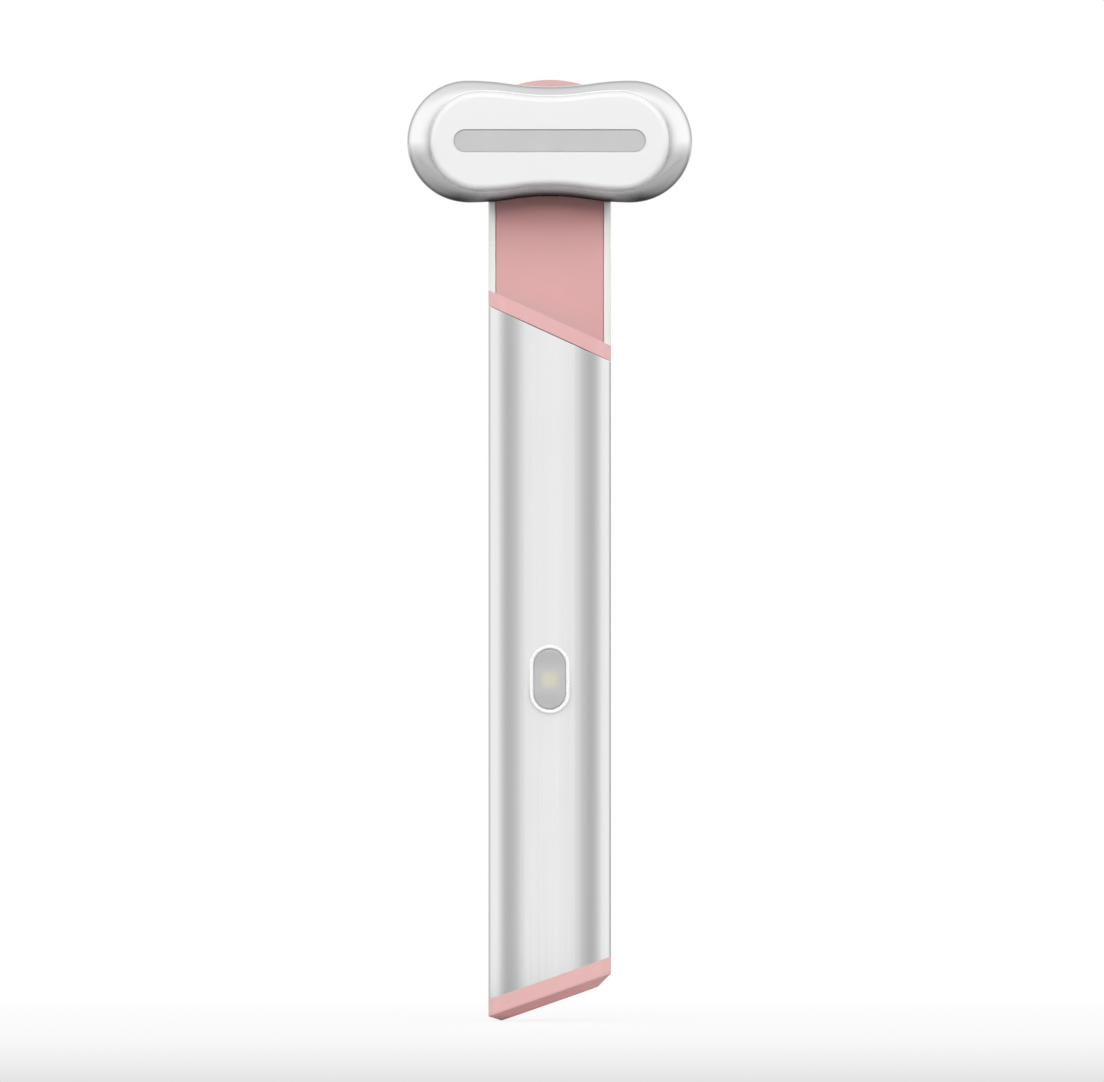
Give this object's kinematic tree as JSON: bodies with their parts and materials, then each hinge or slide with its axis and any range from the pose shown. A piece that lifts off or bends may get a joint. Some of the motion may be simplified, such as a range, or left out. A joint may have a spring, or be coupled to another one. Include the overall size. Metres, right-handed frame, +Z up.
{
  "type": "eye massager wand",
  "caption": "Slim warm eye massager wand: T-shaped silver head with a white plate and light bar, pink neck on a slanted swivel, tube grip with one button.",
  "frame": {"origin": "middle of the grip, on the tube's centre line halfway between its slanted ends", "axes": "+Z up along the handle to the head, +X to the right seen from the face, -Y out of the plate and the button"},
  "size_m": [0.0472, 0.0242, 0.1556],
  "materials": {
    "silver_shell": "bright silver plated",
    "warm_plate": "white satin coating",
    "window": "frosted grey",
    "film": "amber film",
    "sensor": "black bead",
    "circuit": "green board",
    "steel": "plain",
    "brass": "plain",
    "off_white": "fine matt",
    "pink": "soft satin pink",
    "tube": "bright satin silver",
    "ring_white": "gloss white",
    "button": "frosted grey",
    "plunger": "black",
    "light": "pale yellow lens",
    "cell": "sleeved cell",
    "foam": "foam",
    "black": "black",
    "bearing": "low friction plastic"
  },
  "bodies": {
    "handle": {"handle_tube": "tube", "bearing_plug": "bearing", "inner_tray": "off_white", "main_board": "circuit", "status_led": "light", "switch_body": "black", "button_bezel": "ring_white", "battery_cell": "cell", "battery_tape": "foam", "end_cap": "pink", "usb_shell": "steel", "usb_tongue": "black", "charge_board": "circuit"},
    "head_unit": {"head_shell": "silver_shell", "contact_plate": "warm_plate", "light_window": "window", "heater_film": "film", "temperature_sensor": "sensor", "led_board": "circuit", "head_rear_cover": "silver_shell", "motor_cradle": "off_white", "motor_can": "steel", "head_bracket": "steel", "bracket_screw_left": "steel", "bracket_screw_right": "steel", "neck_frame": "off_white", "neck_front_cover": "pink", "neck_rear_cover": "pink", "neck_top_cap": "pink", "flex_cable": "film", "swivel_collar": "pink", "swivel_spindle": "brass", "retaining_ring": "steel", "friction_washer": "bearing"},
    "eccentric": {"motor_shaft": "steel", "eccentric_weight": "brass"},
    "button": {"button_cap": "button"},
    "plunger": {"switch_plunger": "plunger"}
  },
  "joints": [
    {"name": "head_swivel", "type": "hinge", "parent": "handle", "child": "head_unit", "pos_m": [0, 0, 0.0532], "axis": [0.4147, 0, 0.91], "range_deg": [0, 180]},
    {"name": "button_press", "type": "slide", "parent": "handle", "child": "button", "axis": [0, 1, 0], "range_m": [0, 0.0004], "stiffness_N_per_m": 2000, "springref_m": -0.0004},
    {"name": "plunger_press", "type": "slide", "parent": "handle", "child": "plunger", "axis": [0, 1, 0], "range_m": [0, 0.0004]},
    {"name": "weight_spin", "type": "hinge", "parent": "head_unit", "child": "eccentric", "pos_m": [-0.0193, -0.0074, 0.08499], "axis": [1, 0, 0], "continuous": true}
  ],
  "couplings": [
    {"joint": "plunger_press", "follows": "button_press", "ratio": 1}
  ]
}
